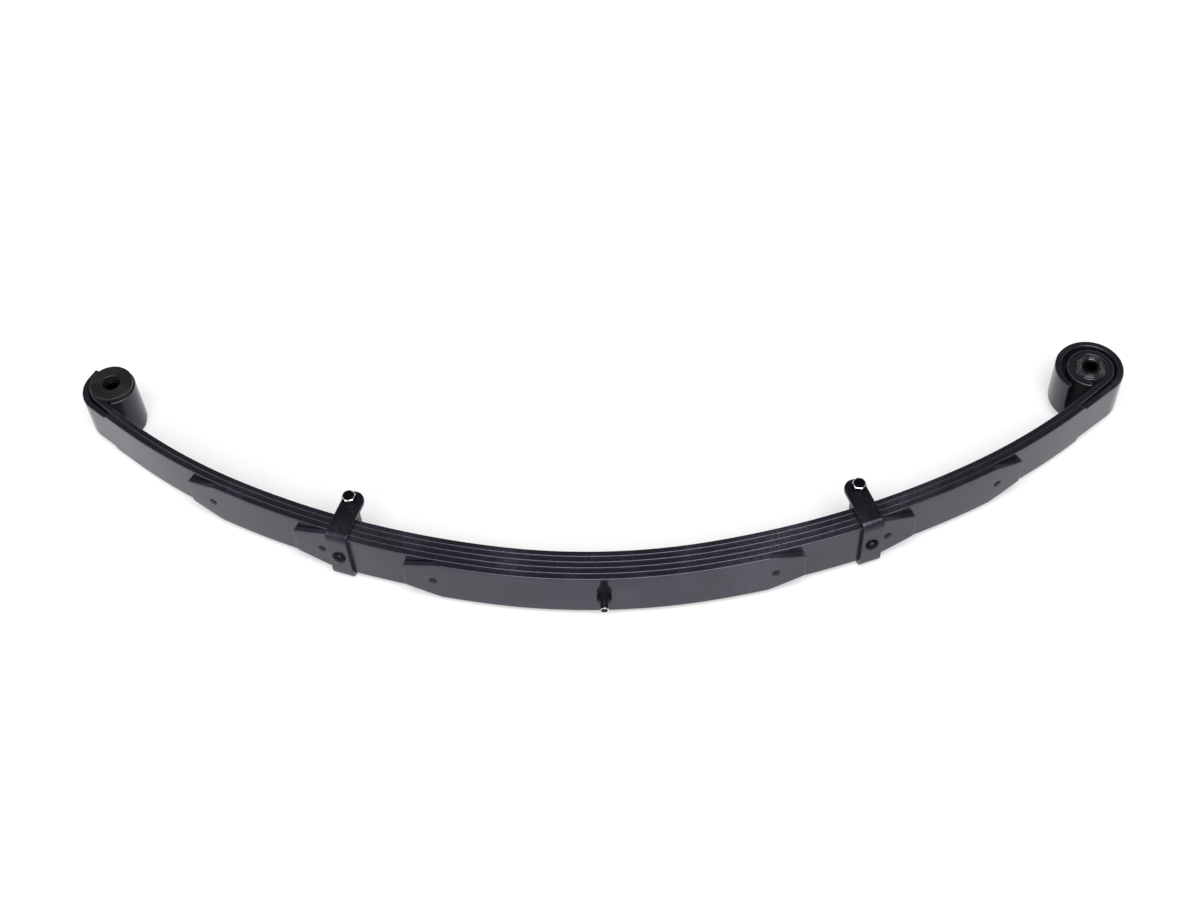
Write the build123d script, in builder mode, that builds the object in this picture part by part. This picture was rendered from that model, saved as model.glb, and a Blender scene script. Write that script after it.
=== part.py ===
"""Five-leaf automotive leaf spring with two wrapped eyes and two bolted rebound clips.

Millimetres, +Z up. The spring lies on its side: +X runs along its length, +Z across the width of
its leaves, and it is bowed toward -Y, with the eyes rolled toward +Y. The origin is on the centre
bolt's axis, on the concave face of the main leaf, halfway across its width.

A station is a distance along the concave face of the main leaf, from the centre bolt, and an
offset is a distance from that face, positive toward the convex side.
"""

import os
from itertools import pairwise
from math import acos, copysign, cos, degrees, radians, sin

from build123d import *

os.makedirs("parts", exist_ok=True)

# Leaves
leaf_width = 63.5
leaf_thickness = 7.1
leaf_gap = 0.3
leaf_edge_radius = 1.2
arch = ((115.0, 700.0), (430.0, 1030.0), (700.0, 730.0))  # (station each arc ends at, its radius)
third_half_length = 487.0
fourth_half_length = 345.0
fifth_half_length = 215.0
tip_length = 40.0
tip_width = 38.0
tip_corner_radius = 5.0
tip_waste = 2.0  # cut off each end when the tip is shaped

# Eyes, rolled at the ends of the main leaf
left_eye_station = -646.5
right_eye_station = 633.5
eye_bore_radius = 19.6
eye_roll_gap = 1.2

# Second leaf, whose ends wrap the eyes
left_wrap_clearance = 2.5
left_wrap_lift = 0.0
left_wrap_sweep = 80.0
left_wrap_tail = 13.0  # straight beyond the curl
left_shoulder_station = -621.0
right_wrap_clearance = 5.5
right_wrap_lift = 4.0  # of the curl's centre above the eye's, toward +Y
right_wrap_sweep = 277.0
right_wrap_tail = 0.0
right_shoulder_station = 587.0
shoulder_depth = 4.5

# Tip pads, one button through each end of the three short leaves
pad_inset = 33.0
pad_shank_radius = 4.3
pad_head_radius = 9.0
pad_head_thickness = 1.8
pad_dome_height = 0.9

# Centre bolt
bolt_radius = 4.76
centre_shank_radius = 4.3  # the thread in the nut is drawn at this radius too
bolt_hole_radius = 5.0
centre_head_radius = 8.0
centre_head_height = 8.0
centre_head_lift = 0.1
stud_free_length = 11.3
stud_end_start = 0.3  # beyond the nut
bolt_end_chamfer = 1.0
hex_across_flats = 14.3
centre_nut_height = 8.3
thread_clearance = 0.06

# Rebound clips
left_clip_station = -289.5
right_clip_station = 291.5
strap_width = 25.0
strap_thickness = 5.0
strap_side_gap = 3.0
strap_outer_bend = 10.0
strap_inner_bend = 4.5
clip_bolt_behind_leaf = 18.0
clip_bolt_shift = 4.0
clip_head_height = 8.0
rivet_shank_radius = 4.0
rivet_head_radius = 8.0
rivet_head_height = 5.2
tube_outer_radius = 8.0
tube_end_gap = 0.3

# Eye bushings
running_clearance = 0.08
sleeve_bore_radius = 7.15
sleeve_outer_radius = 10.2
flange_radius = 25.0
flange_thickness = 6.0
flange_edge_radius = 1.5
half_split_gap = 0.5
sleeve_recess = 8.0
can_wall = 1.4
rubber_bulge = 2.2
rubber_edge_radius = 1.6

half_width = leaf_width / 2
leaf_pitch = leaf_thickness + leaf_gap
eye_outer_radius = eye_bore_radius + leaf_thickness
bushing_radius = eye_bore_radius - running_clearance
hex_corner_radius = hex_across_flats / 2 / cos(radians(30))
arc_ends = [side * end for side in (-1, 1) for end, radius in arch[:-1]]


def heading(station):
    """Direction of the arch at a station, in radians from +X."""
    turn = start = 0.0
    for end, radius in arch:
        turn += max(0.0, min(abs(station), end) - start) / radius
        start = end
    return copysign(turn, station)


def on_arch(station, offset=0.0):
    """Point at a station and an offset."""
    x = y = turn = start = 0.0
    for end, radius in arch:
        run = min(abs(station), end) - start
        if run <= 0:
            break
        x += radius * (sin(turn + run / radius) - sin(turn))
        y += radius * (cos(turn) - cos(turn + run / radius))
        turn += run / radius
        start = end
    return copysign(x + offset * sin(turn), station), y - offset * cos(turn)


def arch_edge(start, end, offset):
    """Add the arcs that follow the arch from one station to another."""
    ends = sorted((s for s in arc_ends if min(start, end) < s < max(start, end)), reverse=start > end)
    for a, b in pairwise([start, *ends, end]):
        ThreePointArc(on_arch(a, offset), on_arch((a + b) / 2, offset), on_arch(b, offset))


def leaf_bar(layer, start, end):
    """Side view of a leaf that follows the arch; the main leaf is layer 0."""
    inner = layer * leaf_pitch
    outer = inner + leaf_thickness
    with BuildSketch() as bar:
        with BuildLine():
            arch_edge(start, end, inner)
            Line(on_arch(end, inner), on_arch(end, outer))
            arch_edge(end, start, outer)
            Line(on_arch(start, outer), on_arch(start, inner))
        make_face()
    return bar.sketch


def ring_sector(centre, inner_radius, start_angle, sweep):
    """Side view of a leaf curled round a centre."""
    with BuildSketch() as sector:
        with BuildLine():
            inner = CenterArc(centre, inner_radius, start_angle, sweep)
            outer = CenterArc(centre, inner_radius + leaf_thickness, start_angle, sweep)
            Line(inner @ 0, outer @ 0)
            Line(inner @ 1, outer @ 1)
        make_face()
    return sector.sketch


def face_plane(station, offset):
    """Plane on a leaf's face: x along the arch, y across the width, normal to the convex side."""
    turn = heading(station)
    x, y = on_arch(station, offset)
    return Plane(origin=(x, y, 0), x_dir=(cos(turn), sin(turn), 0), z_dir=(sin(turn), -cos(turn), 0))


def eye_centre(station):
    return on_arch(station, -eye_bore_radius)


def eye_plane(station, height):
    """Horizontal plane on an eye's axis."""
    x, y = eye_centre(station)
    return Plane(origin=(x, y, height))


def eye_roll(station):
    """Side view of a main-leaf eye, rolled almost round to the leaf's concave face."""
    open_angle = degrees(acos((eye_bore_radius - eye_roll_gap) / eye_outer_radius))
    start_angle = degrees(heading(station)) - 90
    sweep = copysign(360 - open_angle, station)
    return ring_sector(eye_centre(station), eye_bore_radius, start_angle, sweep)


def wrap_centre(eye_station, lift):
    """Centre of the second leaf's curl, which can stand above the eye's."""
    x, y = eye_centre(eye_station)
    return Vector(x, y + lift)


def leave_station(eye_station, clearance, lift):
    """Station where the second leaf leaves the arch on a straight line that meets its curl."""
    centre = wrap_centre(eye_station, lift)
    near = arch[-2][0]
    far = abs(eye_station)
    for _ in range(40):
        station = copysign((near + far) / 2, eye_station)
        x, y = on_arch(station, leaf_pitch)
        turn = heading(station)
        height = (centre.Y - y) * cos(turn) - (centre.X - x) * sin(turn)
        if height > eye_outer_radius + clearance:
            near = abs(station)
        else:
            far = abs(station)
    return copysign(near, eye_station)


def wrap(eye_station, clearance, lift, sweep, tail):
    """Side view of the straight, the curl and the straight tail of the second leaf at one eye."""
    wrap_radius = eye_outer_radius + clearance
    leave = leave_station(eye_station, clearance, lift)
    start_angle = degrees(heading(leave)) - 90
    centre = wrap_centre(eye_station, lift)
    down = Vector(cos(radians(start_angle)), sin(radians(start_angle)))
    turn = copysign(sweep, eye_station)
    out = down.rotate(Axis.Z, turn)
    ahead = out.rotate(Axis.Z, copysign(90, turn))
    with BuildSketch() as curl:
        add(ring_sector(centre, wrap_radius, start_angle, turn))
        if tail:
            with BuildLine():
                Polyline(
                    centre + out * wrap_radius,
                    centre + out * wrap_radius + ahead * tail,
                    centre + out * (wrap_radius + leaf_thickness) + ahead * tail,
                    centre + out * (wrap_radius + leaf_thickness),
                    close=True,
                )
            make_face()
        with BuildLine():
            Polyline(
                on_arch(leave, leaf_pitch),
                centre + down * wrap_radius,
                centre + down * (wrap_radius + leaf_thickness),
                on_arch(leave, leaf_pitch + leaf_thickness),
                close=True,
            )
        make_face()
    return curl.sketch


def trim_shoulders(station):
    """Narrow the second leaf on both edges beyond a station, with sloping shoulders."""
    out = copysign(1, station)
    reach = 4 * eye_outer_radius
    narrow = half_width - shoulder_depth
    with BuildSketch(face_plane(station, leaf_pitch)) as waste:
        for edge in (-1, 1):
            with BuildLine():
                Polyline(
                    (-out * shoulder_depth, edge * half_width),
                    (0, edge * narrow),
                    (out * reach, edge * narrow),
                    (out * reach, edge * (half_width + 1)),
                    (-out * shoulder_depth, edge * (half_width + 1)),
                    close=True,
                )
            make_face()
    extrude(waste.sketch, amount=reach, both=True, mode=Mode.SUBTRACT)


def trim_tip(station, layer):
    """Cut a leaf's end to a blunt point."""
    out = copysign(1, station)
    with BuildSketch(face_plane(station, layer * leaf_pitch + leaf_thickness / 2)) as waste:
        with Locations((-out * tip_length / 2, 0)):
            Rectangle(2 * tip_length, leaf_width + 2)
        with BuildLine():
            FilletPolyline(
                (-out * 3 * tip_length, half_width),
                (-out * tip_length, half_width),
                (0, tip_width / 2),
                (0, -tip_width / 2),
                (-out * tip_length, -half_width),
                (-out * 3 * tip_length, -half_width),
                radius=tip_corner_radius,
                close=True,
            )
        make_face(mode=Mode.SUBTRACT)
    extrude(waste.sketch, amount=leaf_thickness, both=True, mode=Mode.SUBTRACT)


def short_leaf_bar(layer, half_length):
    """Side view of a leaf without eyes, a little long at both ends."""
    return leaf_bar(layer, -half_length - tip_waste, half_length + tip_waste)


def round_edges(leaf):
    """Round a leaf's long edges."""
    for edge in (-1, 1):
        rim = leaf.edges().filter_by_position(Axis.Z, edge * half_width, edge * half_width)
        fillet(rim.filter_by(GeomType.CIRCLE), leaf_edge_radius)


def centre_hole():
    """Drill the leaf for the centre bolt."""
    with BuildSketch(Plane.XZ) as hole:
        Circle(bolt_hole_radius)
    extrude(hole.sketch, amount=6 * leaf_pitch, both=True, mode=Mode.SUBTRACT)


def round_hole(plane, radius, depth):
    with BuildSketch(plane) as hole:
        Circle(radius)
    extrude(hole.sketch, amount=depth, mode=Mode.SUBTRACT)


def pad_hole(station, layer):
    """Counterbore a leaf's concave face and drill it through for a tip pad."""
    concave_face = face_plane(station, layer * leaf_pitch)
    round_hole(concave_face, pad_shank_radius + running_clearance, leaf_thickness)
    round_hole(concave_face, pad_head_radius + running_clearance, pad_head_thickness + running_clearance)


def tip_pad(station, layer):
    """Add one pad: a flat head in the counterbore, a shank and a low dome on the convex side."""
    offset = layer * leaf_pitch
    disc(face_plane(station, offset), pad_head_radius, pad_head_thickness)
    disc(face_plane(station, offset), pad_shank_radius, leaf_thickness)
    dome(face_plane(station, offset + leaf_thickness), pad_shank_radius, pad_dome_height)


def disc(plane, radius, height):
    """Add a plain cylinder standing on a plane."""
    with BuildSketch(plane) as outline:
        Circle(radius)
    extrude(outline.sketch, amount=height)


def dome(plane, radius, height):
    """Add a spherical cap standing on a plane."""
    ball = (radius**2 + height**2) / (2 * height)
    profile_plane = Plane(origin=plane.origin, x_dir=plane.x_dir, z_dir=-plane.y_dir)
    with BuildSketch(profile_plane) as profile:
        with BuildLine():
            Line((0, 0), (radius, 0))
            RadiusArc((radius, 0), (0, height), -ball)
            Line((0, height), (0, 0))
        make_face()
    revolve(profile.sketch, axis=Axis(plane.origin, plane.z_dir))


def hex_block(plane, height, bore_radius=0.0):
    """Add a hexagon with its outer corners chamfered, with its flats along the plane's y."""
    with BuildSketch(plane) as outline:
        RegularPolygon(hex_corner_radius, 6)
    extrude(outline.sketch, amount=height)
    profile_plane = Plane(origin=plane.origin, x_dir=plane.x_dir, z_dir=-plane.y_dir)
    chamfer_run = hex_corner_radius - hex_across_flats / 2
    with BuildSketch(profile_plane) as profile:
        with BuildLine():
            Polyline(
                (bore_radius, 0),
                (hex_corner_radius, 0),
                (hex_corner_radius, height - chamfer_run / 2),
                (hex_across_flats / 2, height),
                (bore_radius, height),
                close=True,
            )
        make_face()
    revolve(profile.sketch, axis=Axis(plane.origin, plane.z_dir), mode=Mode.INTERSECT)


def tube(plane, outer_radius, inner_radius, length):
    """Add a plain tube standing on a plane."""
    with BuildSketch(plane) as ring:
        Circle(outer_radius)
        Circle(inner_radius, mode=Mode.SUBTRACT)
    extrude(ring.sketch, amount=length)


def save(builder, name):
    builder.part.label = name
    export_step(builder.part, f"parts/{name}.step")


with BuildPart() as main_leaf:
    with BuildSketch():
        add(leaf_bar(0, left_eye_station, right_eye_station))
        add(eye_roll(left_eye_station))
        add(eye_roll(right_eye_station))
    extrude(amount=half_width, both=True)
    round_edges(main_leaf)
    centre_hole()
save(main_leaf, "main_leaf")

left_leave = leave_station(left_eye_station, left_wrap_clearance, left_wrap_lift)
right_leave = leave_station(right_eye_station, right_wrap_clearance, right_wrap_lift)
with BuildPart() as second_leaf:
    with BuildSketch():
        add(leaf_bar(1, left_leave, right_leave))
        add(wrap(left_eye_station, left_wrap_clearance, left_wrap_lift, left_wrap_sweep, left_wrap_tail))
        add(wrap(right_eye_station, right_wrap_clearance, right_wrap_lift, right_wrap_sweep, right_wrap_tail))
    extrude(amount=half_width, both=True)
    round_edges(second_leaf)
    trim_shoulders(left_shoulder_station)
    trim_shoulders(right_shoulder_station)
    centre_hole()
save(second_leaf, "second_leaf")

with BuildPart() as third_leaf:
    with BuildSketch():
        add(short_leaf_bar(2, third_half_length))
    extrude(amount=half_width, both=True)
    round_edges(third_leaf)
    for side in (-1, 1):
        trim_tip(side * third_half_length, 2)
        pad_hole(side * (third_half_length - pad_inset), 2)
    centre_hole()
save(third_leaf, "third_leaf")

strap_offset = 4 * leaf_pitch
with BuildPart() as fourth_leaf:
    with BuildSketch():
        add(short_leaf_bar(3, fourth_half_length))
    extrude(amount=half_width, both=True)
    round_edges(fourth_leaf)
    for side in (-1, 1):
        trim_tip(side * fourth_half_length, 3)
        pad_hole(side * (fourth_half_length - pad_inset), 3)
    for station in (left_clip_station, right_clip_station):
        rivet_plane = face_plane(station, 3 * leaf_pitch)
        round_hole(rivet_plane, rivet_shank_radius + running_clearance, leaf_thickness)
    centre_hole()
save(fourth_leaf, "fourth_leaf")

with BuildPart() as fifth_leaf:
    with BuildSketch():
        add(short_leaf_bar(4, fifth_half_length))
    extrude(amount=half_width, both=True)
    round_edges(fifth_leaf)
    for side in (-1, 1):
        trim_tip(side * fifth_half_length, 4)
        pad_hole(side * (fifth_half_length - pad_inset), 4)
    centre_hole()
save(fifth_leaf, "fifth_leaf")

short_leaves = (
    ("third", 2, third_half_length),
    ("fourth", 3, fourth_half_length),
    ("fifth", 4, fifth_half_length),
)
for side, hand in ((-1, "left"), (1, "right")):
    for leaf_name, layer, half_length in short_leaves:
        with BuildPart() as pad:
            tip_pad(side * (half_length - pad_inset), layer)
        save(pad, f"{leaf_name}_leaf_{hand}_pad")

pack_depth = 4 * leaf_pitch + leaf_thickness
nut_plane = Plane(origin=(0, -pack_depth, 0), x_dir=(1, 0, 0), z_dir=(0, -1, 0))
with BuildPart() as centre_bolt:
    with BuildSketch(Plane(origin=(0, centre_head_lift, 0), x_dir=(1, 0, 0), z_dir=(0, 1, 0))):
        Circle(centre_head_radius)
    extrude(amount=centre_head_height - centre_head_lift)
    chamfer(centre_bolt.edges().sort_by(Axis.Y)[-1], bolt_end_chamfer)
    with BuildSketch(Plane(origin=(0, centre_head_height / 2, 0), x_dir=(1, 0, 0), z_dir=(0, -1, 0))):
        Circle(centre_shank_radius)
    extrude(amount=centre_head_height / 2 + pack_depth + centre_nut_height + stud_end_start)
    with BuildSketch(nut_plane.offset(centre_nut_height + stud_end_start)):
        Circle(bolt_radius)
    extrude(amount=stud_free_length - stud_end_start)
    chamfer(centre_bolt.edges().sort_by(Axis.Y)[0], bolt_end_chamfer)
save(centre_bolt, "centre_bolt")

with BuildPart() as centre_nut:
    hex_block(nut_plane, centre_nut_height, centre_shank_radius + thread_clearance)
save(centre_nut, "centre_nut")

strap_inner = half_width + strap_side_gap
strap_outer = strap_inner + strap_thickness
bolt_reach = strap_offset + clip_bolt_behind_leaf
for station, hand in ((left_clip_station, "left"), (right_clip_station, "right")):
    side = copysign(1, station)
    turn = heading(station)
    along = Vector(cos(turn), sin(turn), 0)
    inward = Vector(-sin(turn), cos(turn), 0)
    base = Vector(*on_arch(station, strap_offset), 0)
    bolt_axis = base + inward * bolt_reach + along * side * clip_bolt_shift

    with BuildPart() as strap:
        with BuildSketch(Plane(origin=base, x_dir=inward, z_dir=along)) as section:
            with Locations(((bolt_reach + strap_width - strap_thickness) / 2, 0)):
                Rectangle(bolt_reach + strap_width + strap_thickness, 2 * strap_outer)
            fillet(section.vertices().sort_by(Axis.X)[:2], strap_outer_bend)
            with BuildLine():
                FilletPolyline(
                    (3 * bolt_reach, strap_inner),
                    (0, strap_inner),
                    (0, -strap_inner),
                    (3 * bolt_reach, -strap_inner),
                    radius=strap_inner_bend,
                )
                Line((3 * bolt_reach, -strap_inner), (3 * bolt_reach, strap_inner))
            make_face(mode=Mode.SUBTRACT)
        extrude(amount=strap_width, both=True)
        with BuildSketch(Plane(origin=base, x_dir=along, z_dir=(0, 0, 1))):
            with Locations((0, (bolt_reach - strap_thickness) / 2)):
                Rectangle(strap_width, bolt_reach + strap_thickness)
            with Locations((0, bolt_reach)):
                Circle(strap_width / 2)
        extrude(amount=strap_outer, both=True, mode=Mode.INTERSECT)
        bolt_plane = Plane(origin=bolt_axis - Vector(0, 0, strap_outer))
        rivet_plane = face_plane(station, strap_offset)
        round_hole(bolt_plane, bolt_radius + thread_clearance, 2 * strap_outer)
        round_hole(rivet_plane, rivet_shank_radius + thread_clearance, strap_thickness)
    save(strap, f"{hand}_clip_strap")

    with BuildPart() as rivet:
        with BuildSketch(face_plane(station, 3 * leaf_pitch)):
            Circle(rivet_shank_radius)
        extrude(amount=leaf_pitch + strap_thickness)
        dome(face_plane(station, strap_offset + strap_thickness), rivet_head_radius, rivet_head_height)
    save(rivet, f"{hand}_clip_rivet")

    with BuildPart() as clip_bolt:
        head_plane = Plane(origin=bolt_axis + Vector(0, 0, strap_outer), x_dir=along, z_dir=(0, 0, 1))
        hex_block(head_plane, clip_head_height)
        with BuildSketch(bolt_plane):
            Circle(bolt_radius)
        extrude(amount=2 * strap_outer)
    save(clip_bolt, f"{hand}_clip_bolt")

    tube_length = 2 * (strap_inner - tube_end_gap)
    with BuildPart() as spacer:
        spacer_plane = Plane(origin=bolt_axis - Vector(0, 0, tube_length / 2))
        tube(spacer_plane, tube_outer_radius, bolt_radius + running_clearance, tube_length)
    save(spacer, f"{hand}_clip_spacer")

flange_face = half_width + leaf_gap
for edge, end_name in ((1, "upper"), (-1, "lower")):
    with BuildPart() as bushing:
        body_plane = eye_plane(left_eye_station, edge * half_split_gap / 2)
        with BuildSketch(body_plane):
            Circle(bushing_radius)
        extrude(amount=edge * (flange_face - half_split_gap / 2))
        with BuildSketch(eye_plane(left_eye_station, edge * flange_face)):
            Circle(flange_radius)
        extrude(amount=edge * flange_thickness)
        rims = bushing.edges().filter_by(GeomType.CIRCLE).filter_by(lambda e: e.radius > bushing_radius + 1)
        fillet(rims, flange_edge_radius)
        with BuildSketch(body_plane):
            Circle(sleeve_outer_radius + running_clearance)
        extrude(amount=edge * (flange_face + flange_thickness), mode=Mode.SUBTRACT)
    save(bushing, f"left_bushing_{end_name}_half")

left_sleeve_half = flange_face + flange_thickness - sleeve_recess
with BuildPart() as left_sleeve:
    left_plane = eye_plane(left_eye_station, -left_sleeve_half)
    tube(left_plane, sleeve_outer_radius, sleeve_bore_radius, 2 * left_sleeve_half)
save(left_sleeve, "left_bushing_sleeve")

with BuildPart() as right_can:
    tube(eye_plane(right_eye_station, -half_width), bushing_radius, bushing_radius - can_wall, leaf_width)
save(right_can, "right_bushing_can")

rubber_half = half_width + rubber_bulge
with BuildPart() as right_rubber:
    with BuildSketch(eye_plane(right_eye_station, -rubber_half)):
        Circle(bushing_radius - can_wall)
    extrude(amount=2 * rubber_half)
    fillet(right_rubber.edges().filter_by(GeomType.CIRCLE), rubber_edge_radius)
    with BuildSketch(eye_plane(right_eye_station, -rubber_half)):
        Circle(sleeve_outer_radius + running_clearance)
    extrude(amount=2 * rubber_half, mode=Mode.SUBTRACT)
save(right_rubber, "right_bushing_rubber")

with BuildPart() as right_sleeve:
    tube(eye_plane(right_eye_station, -rubber_half), sleeve_outer_radius, sleeve_bore_radius, 2 * rubber_half)
save(right_sleeve, "right_bushing_sleeve")
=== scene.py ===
"""Looks for the five-leaf spring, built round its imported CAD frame, in metres.

The spring lies on its side: +X along its length, +Z across the leaves, convex side toward -Y.
A station is a distance along the main leaf's concave face from the centre bolt, and an offset is
a distance from that face, positive toward the convex side.
"""

from functools import partial
from math import acos, atan, ceil, copysign, cos, degrees, pi, radians, sin, sqrt, tan

import bpy
from mathutils import Matrix, Vector, noise


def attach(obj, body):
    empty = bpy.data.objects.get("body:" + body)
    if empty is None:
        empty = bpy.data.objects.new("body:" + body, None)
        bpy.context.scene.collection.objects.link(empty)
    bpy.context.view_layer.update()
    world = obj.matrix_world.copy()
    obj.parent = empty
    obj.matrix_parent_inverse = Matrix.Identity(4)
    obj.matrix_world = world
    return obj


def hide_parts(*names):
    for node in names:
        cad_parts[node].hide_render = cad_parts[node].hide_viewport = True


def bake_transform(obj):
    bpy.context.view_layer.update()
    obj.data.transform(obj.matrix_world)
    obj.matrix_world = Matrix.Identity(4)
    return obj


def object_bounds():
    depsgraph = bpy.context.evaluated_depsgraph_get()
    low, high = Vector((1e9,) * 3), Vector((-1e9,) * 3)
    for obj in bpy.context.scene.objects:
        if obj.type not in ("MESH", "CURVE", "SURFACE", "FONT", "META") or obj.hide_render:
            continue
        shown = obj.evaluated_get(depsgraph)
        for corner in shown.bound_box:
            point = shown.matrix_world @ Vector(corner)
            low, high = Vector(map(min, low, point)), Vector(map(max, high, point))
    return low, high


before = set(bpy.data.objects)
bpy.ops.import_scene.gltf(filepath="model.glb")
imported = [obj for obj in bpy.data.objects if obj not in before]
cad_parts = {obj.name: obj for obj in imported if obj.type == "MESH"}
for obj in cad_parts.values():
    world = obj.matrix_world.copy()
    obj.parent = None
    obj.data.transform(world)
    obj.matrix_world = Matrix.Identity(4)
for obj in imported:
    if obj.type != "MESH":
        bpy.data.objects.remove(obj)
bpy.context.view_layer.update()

mm = 0.001
up = Vector((0, 0, 1))
hands = {-1: "left", 1: "right"}

# Sizes of the pieces, within a fraction of a millimetre of the CAD solids they stand for
half_width = 31.75 * mm
leaf_thickness = 7.1 * mm
leaf_pitch = 7.4 * mm
leaf_edge_radius = 1.2 * mm
arch = ((115 * mm, 700 * mm), (430 * mm, 1030 * mm), (700 * mm, 730 * mm))  # (station, radius)
short_leaves = (("third", 2, 487 * mm), ("fourth", 3, 345 * mm), ("fifth", 4, 215 * mm))
tip_length = 40 * mm
tip_half_width = 19 * mm
tip_corner_radius = 5 * mm
eye_stations = {-1: -646.5 * mm, 1: 633.5 * mm}
eye_bore_radius = 19.6 * mm
eye_roll_gap = 1.2 * mm
wrap_clearance = {-1: 2.5 * mm, 1: 5.5 * mm}
wrap_lift = {-1: 0.0, 1: 4.0 * mm}
wrap_sweep = {-1: 80.0, 1: 277.0}
wrap_tail = {-1: 13 * mm, 1: 0.0}
shoulder_station = {-1: 621 * mm, 1: 587 * mm}
shoulder_depth = 4.5 * mm
pad_inset = 33 * mm
pad_head_radius = 8.9 * mm
pad_head_thickness = 1.8 * mm
pad_shank_radius = 4.2 * mm
pad_rim_radius = 5 * mm
pad_dome_height = 0.9 * mm
centre_head_radius = 8 * mm
centre_head_height = 8 * mm
nut_height = 8.3 * mm
stud_length = 11.3 * mm
clip_stations = {-1: -289.5 * mm, 1: 291.5 * mm}
strap_thickness = 5 * mm
strap_half_width = 12.5 * mm
strap_inner = half_width + 3.0 * mm
strap_bend = 7.2 * mm  # radius of the middle of its thickness
bolt_reach = 4 * leaf_pitch + 18 * mm
clip_bolt_shift = 4 * mm
clip_head_height = 8 * mm
clip_shank_radius = 4.7 * mm
spacer_bore = 4.84 * mm
spacer_radius = 8 * mm
hex_flat = 7.15 * mm  # half the distance across flats
thread_radius = 4.76 * mm
thread_pitch = 1.5875 * mm
thread_depth = 0.55 * mm
thread_chamfer = 1.1 * mm
sleeve_bore = 7.15 * mm
sleeve_outer = 10.2 * mm
sleeve_recess = 8 * mm  # of the left sleeve's end below the flange's face
flange_radius = 25 * mm
flange_thickness = 6 * mm
flange_lift = 0.3 * mm  # between a flange and the side of the eye
running_clearance = 0.08 * mm
can_thickness = 1.4 * mm
rubber_bulge = 2.2 * mm

eye_outer_radius = eye_bore_radius + leaf_thickness
bushing_radius = eye_bore_radius - running_clearance
flange_face = half_width + flange_lift
pack_depth = 4 * leaf_pitch + leaf_thickness
strap_outer = strap_inner + strap_thickness

# How far from flat the forged faces are
leaf_wave = 0.05 * mm
strap_wave = 0.12 * mm
calm_length = 30 * mm  # a leaf's waves die away over this length, so that its two halves meet


# Geometry of the pack

def heading(station):
    """Direction of the arch at a station, in radians from +X."""
    turn = start = 0.0
    for end, radius in arch:
        turn += max(0.0, min(abs(station), end) - start) / radius
        start = end
    return copysign(turn, station)


def on_arch(station, offset=0.0):
    """Point at a station and an offset, halfway across the leaves."""
    x = y = turn = start = 0.0
    for end, radius in arch:
        run = min(abs(station), end) - start
        if run <= 0:
            break
        x += radius * (sin(turn + run / radius) - sin(turn))
        y += radius * (cos(turn) - cos(turn + run / radius))
        turn += run / radius
        start = end
    return Vector((copysign(x + offset * sin(turn), station), y - offset * cos(turn), 0))


def convex_normal(station):
    """Direction out of the convex side at a station."""
    turn = heading(station)
    return Vector((sin(turn), -cos(turn), 0))


def eye_centre(side):
    return on_arch(eye_stations[side], -eye_bore_radius)


def wrap_centre(side):
    """Centre of the second leaf's curl, which may lie further toward +Y than the eye's."""
    return eye_centre(side) + Vector((0, wrap_lift[side], 0))


def leave_station(side):
    """Station where the second leaf leaves the arch on a straight line that meets its curl."""
    near, far = arch[-2][0], abs(eye_stations[side])
    for _ in range(40):
        station = side * (near + far) / 2
        height = (on_arch(station, leaf_pitch) - wrap_centre(side)).dot(convex_normal(station))
        if height > eye_outer_radius + wrap_clearance[side]:
            near = abs(station)
        else:
            far = abs(station)
    return side * near


# Mesh building

def add_piece(name, verts, faces, material, slot, node, body=None, sharp=35):
    """Make a smooth-shaded mesh object that stands for a CAD node."""
    mesh = bpy.data.meshes.new(name)
    mesh.from_pydata(verts, [], faces)
    mesh.validate()
    mesh.shade_smooth()
    mesh.set_sharp_from_angle(angle=radians(sharp))
    obj = bpy.data.objects.new(name, mesh)
    bpy.context.scene.collection.objects.link(obj)
    mesh.materials.append(material)
    modifier = obj.modifiers.new("even_normals", "WEIGHTED_NORMAL")
    modifier.keep_sharp = True
    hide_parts(node)
    if body:
        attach(obj, body)
    return obj


def spaced(start, end, count):
    """Evenly spaced numbers, both ends included."""
    return [start + (end - start) * i / (count - 1) for i in range(count)]


def bar_section(half_thick, half_wide, radius, columns):
    """Outline of a flat bar with rounded corners: (through the thickness, across the width)."""
    radius = min(radius, 0.95 * half_thick, 0.95 * half_wide)
    a = half_thick - radius
    b = half_wide - radius
    faces = (
        [(half_thick, z) for z in spaced(-b, b, columns)],
        [(x, half_wide) for x in spaced(a, -a, 4)],
        [(-half_thick, z) for z in spaced(b, -b, columns)],
        [(x, -half_wide) for x in spaced(-a, a, 4)],
    )
    centres = ((a, b), (-a, b), (-a, -b), (a, -b))
    ring = []
    for quarter, (face, centre) in enumerate(zip(faces, centres)):
        ring += face
        for step in (1, 2, 3):
            turn = radians(90 * quarter + 22.5 * step)
            ring.append((centre[0] + radius * cos(turn), centre[1] + radius * sin(turn)))
    return ring


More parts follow.
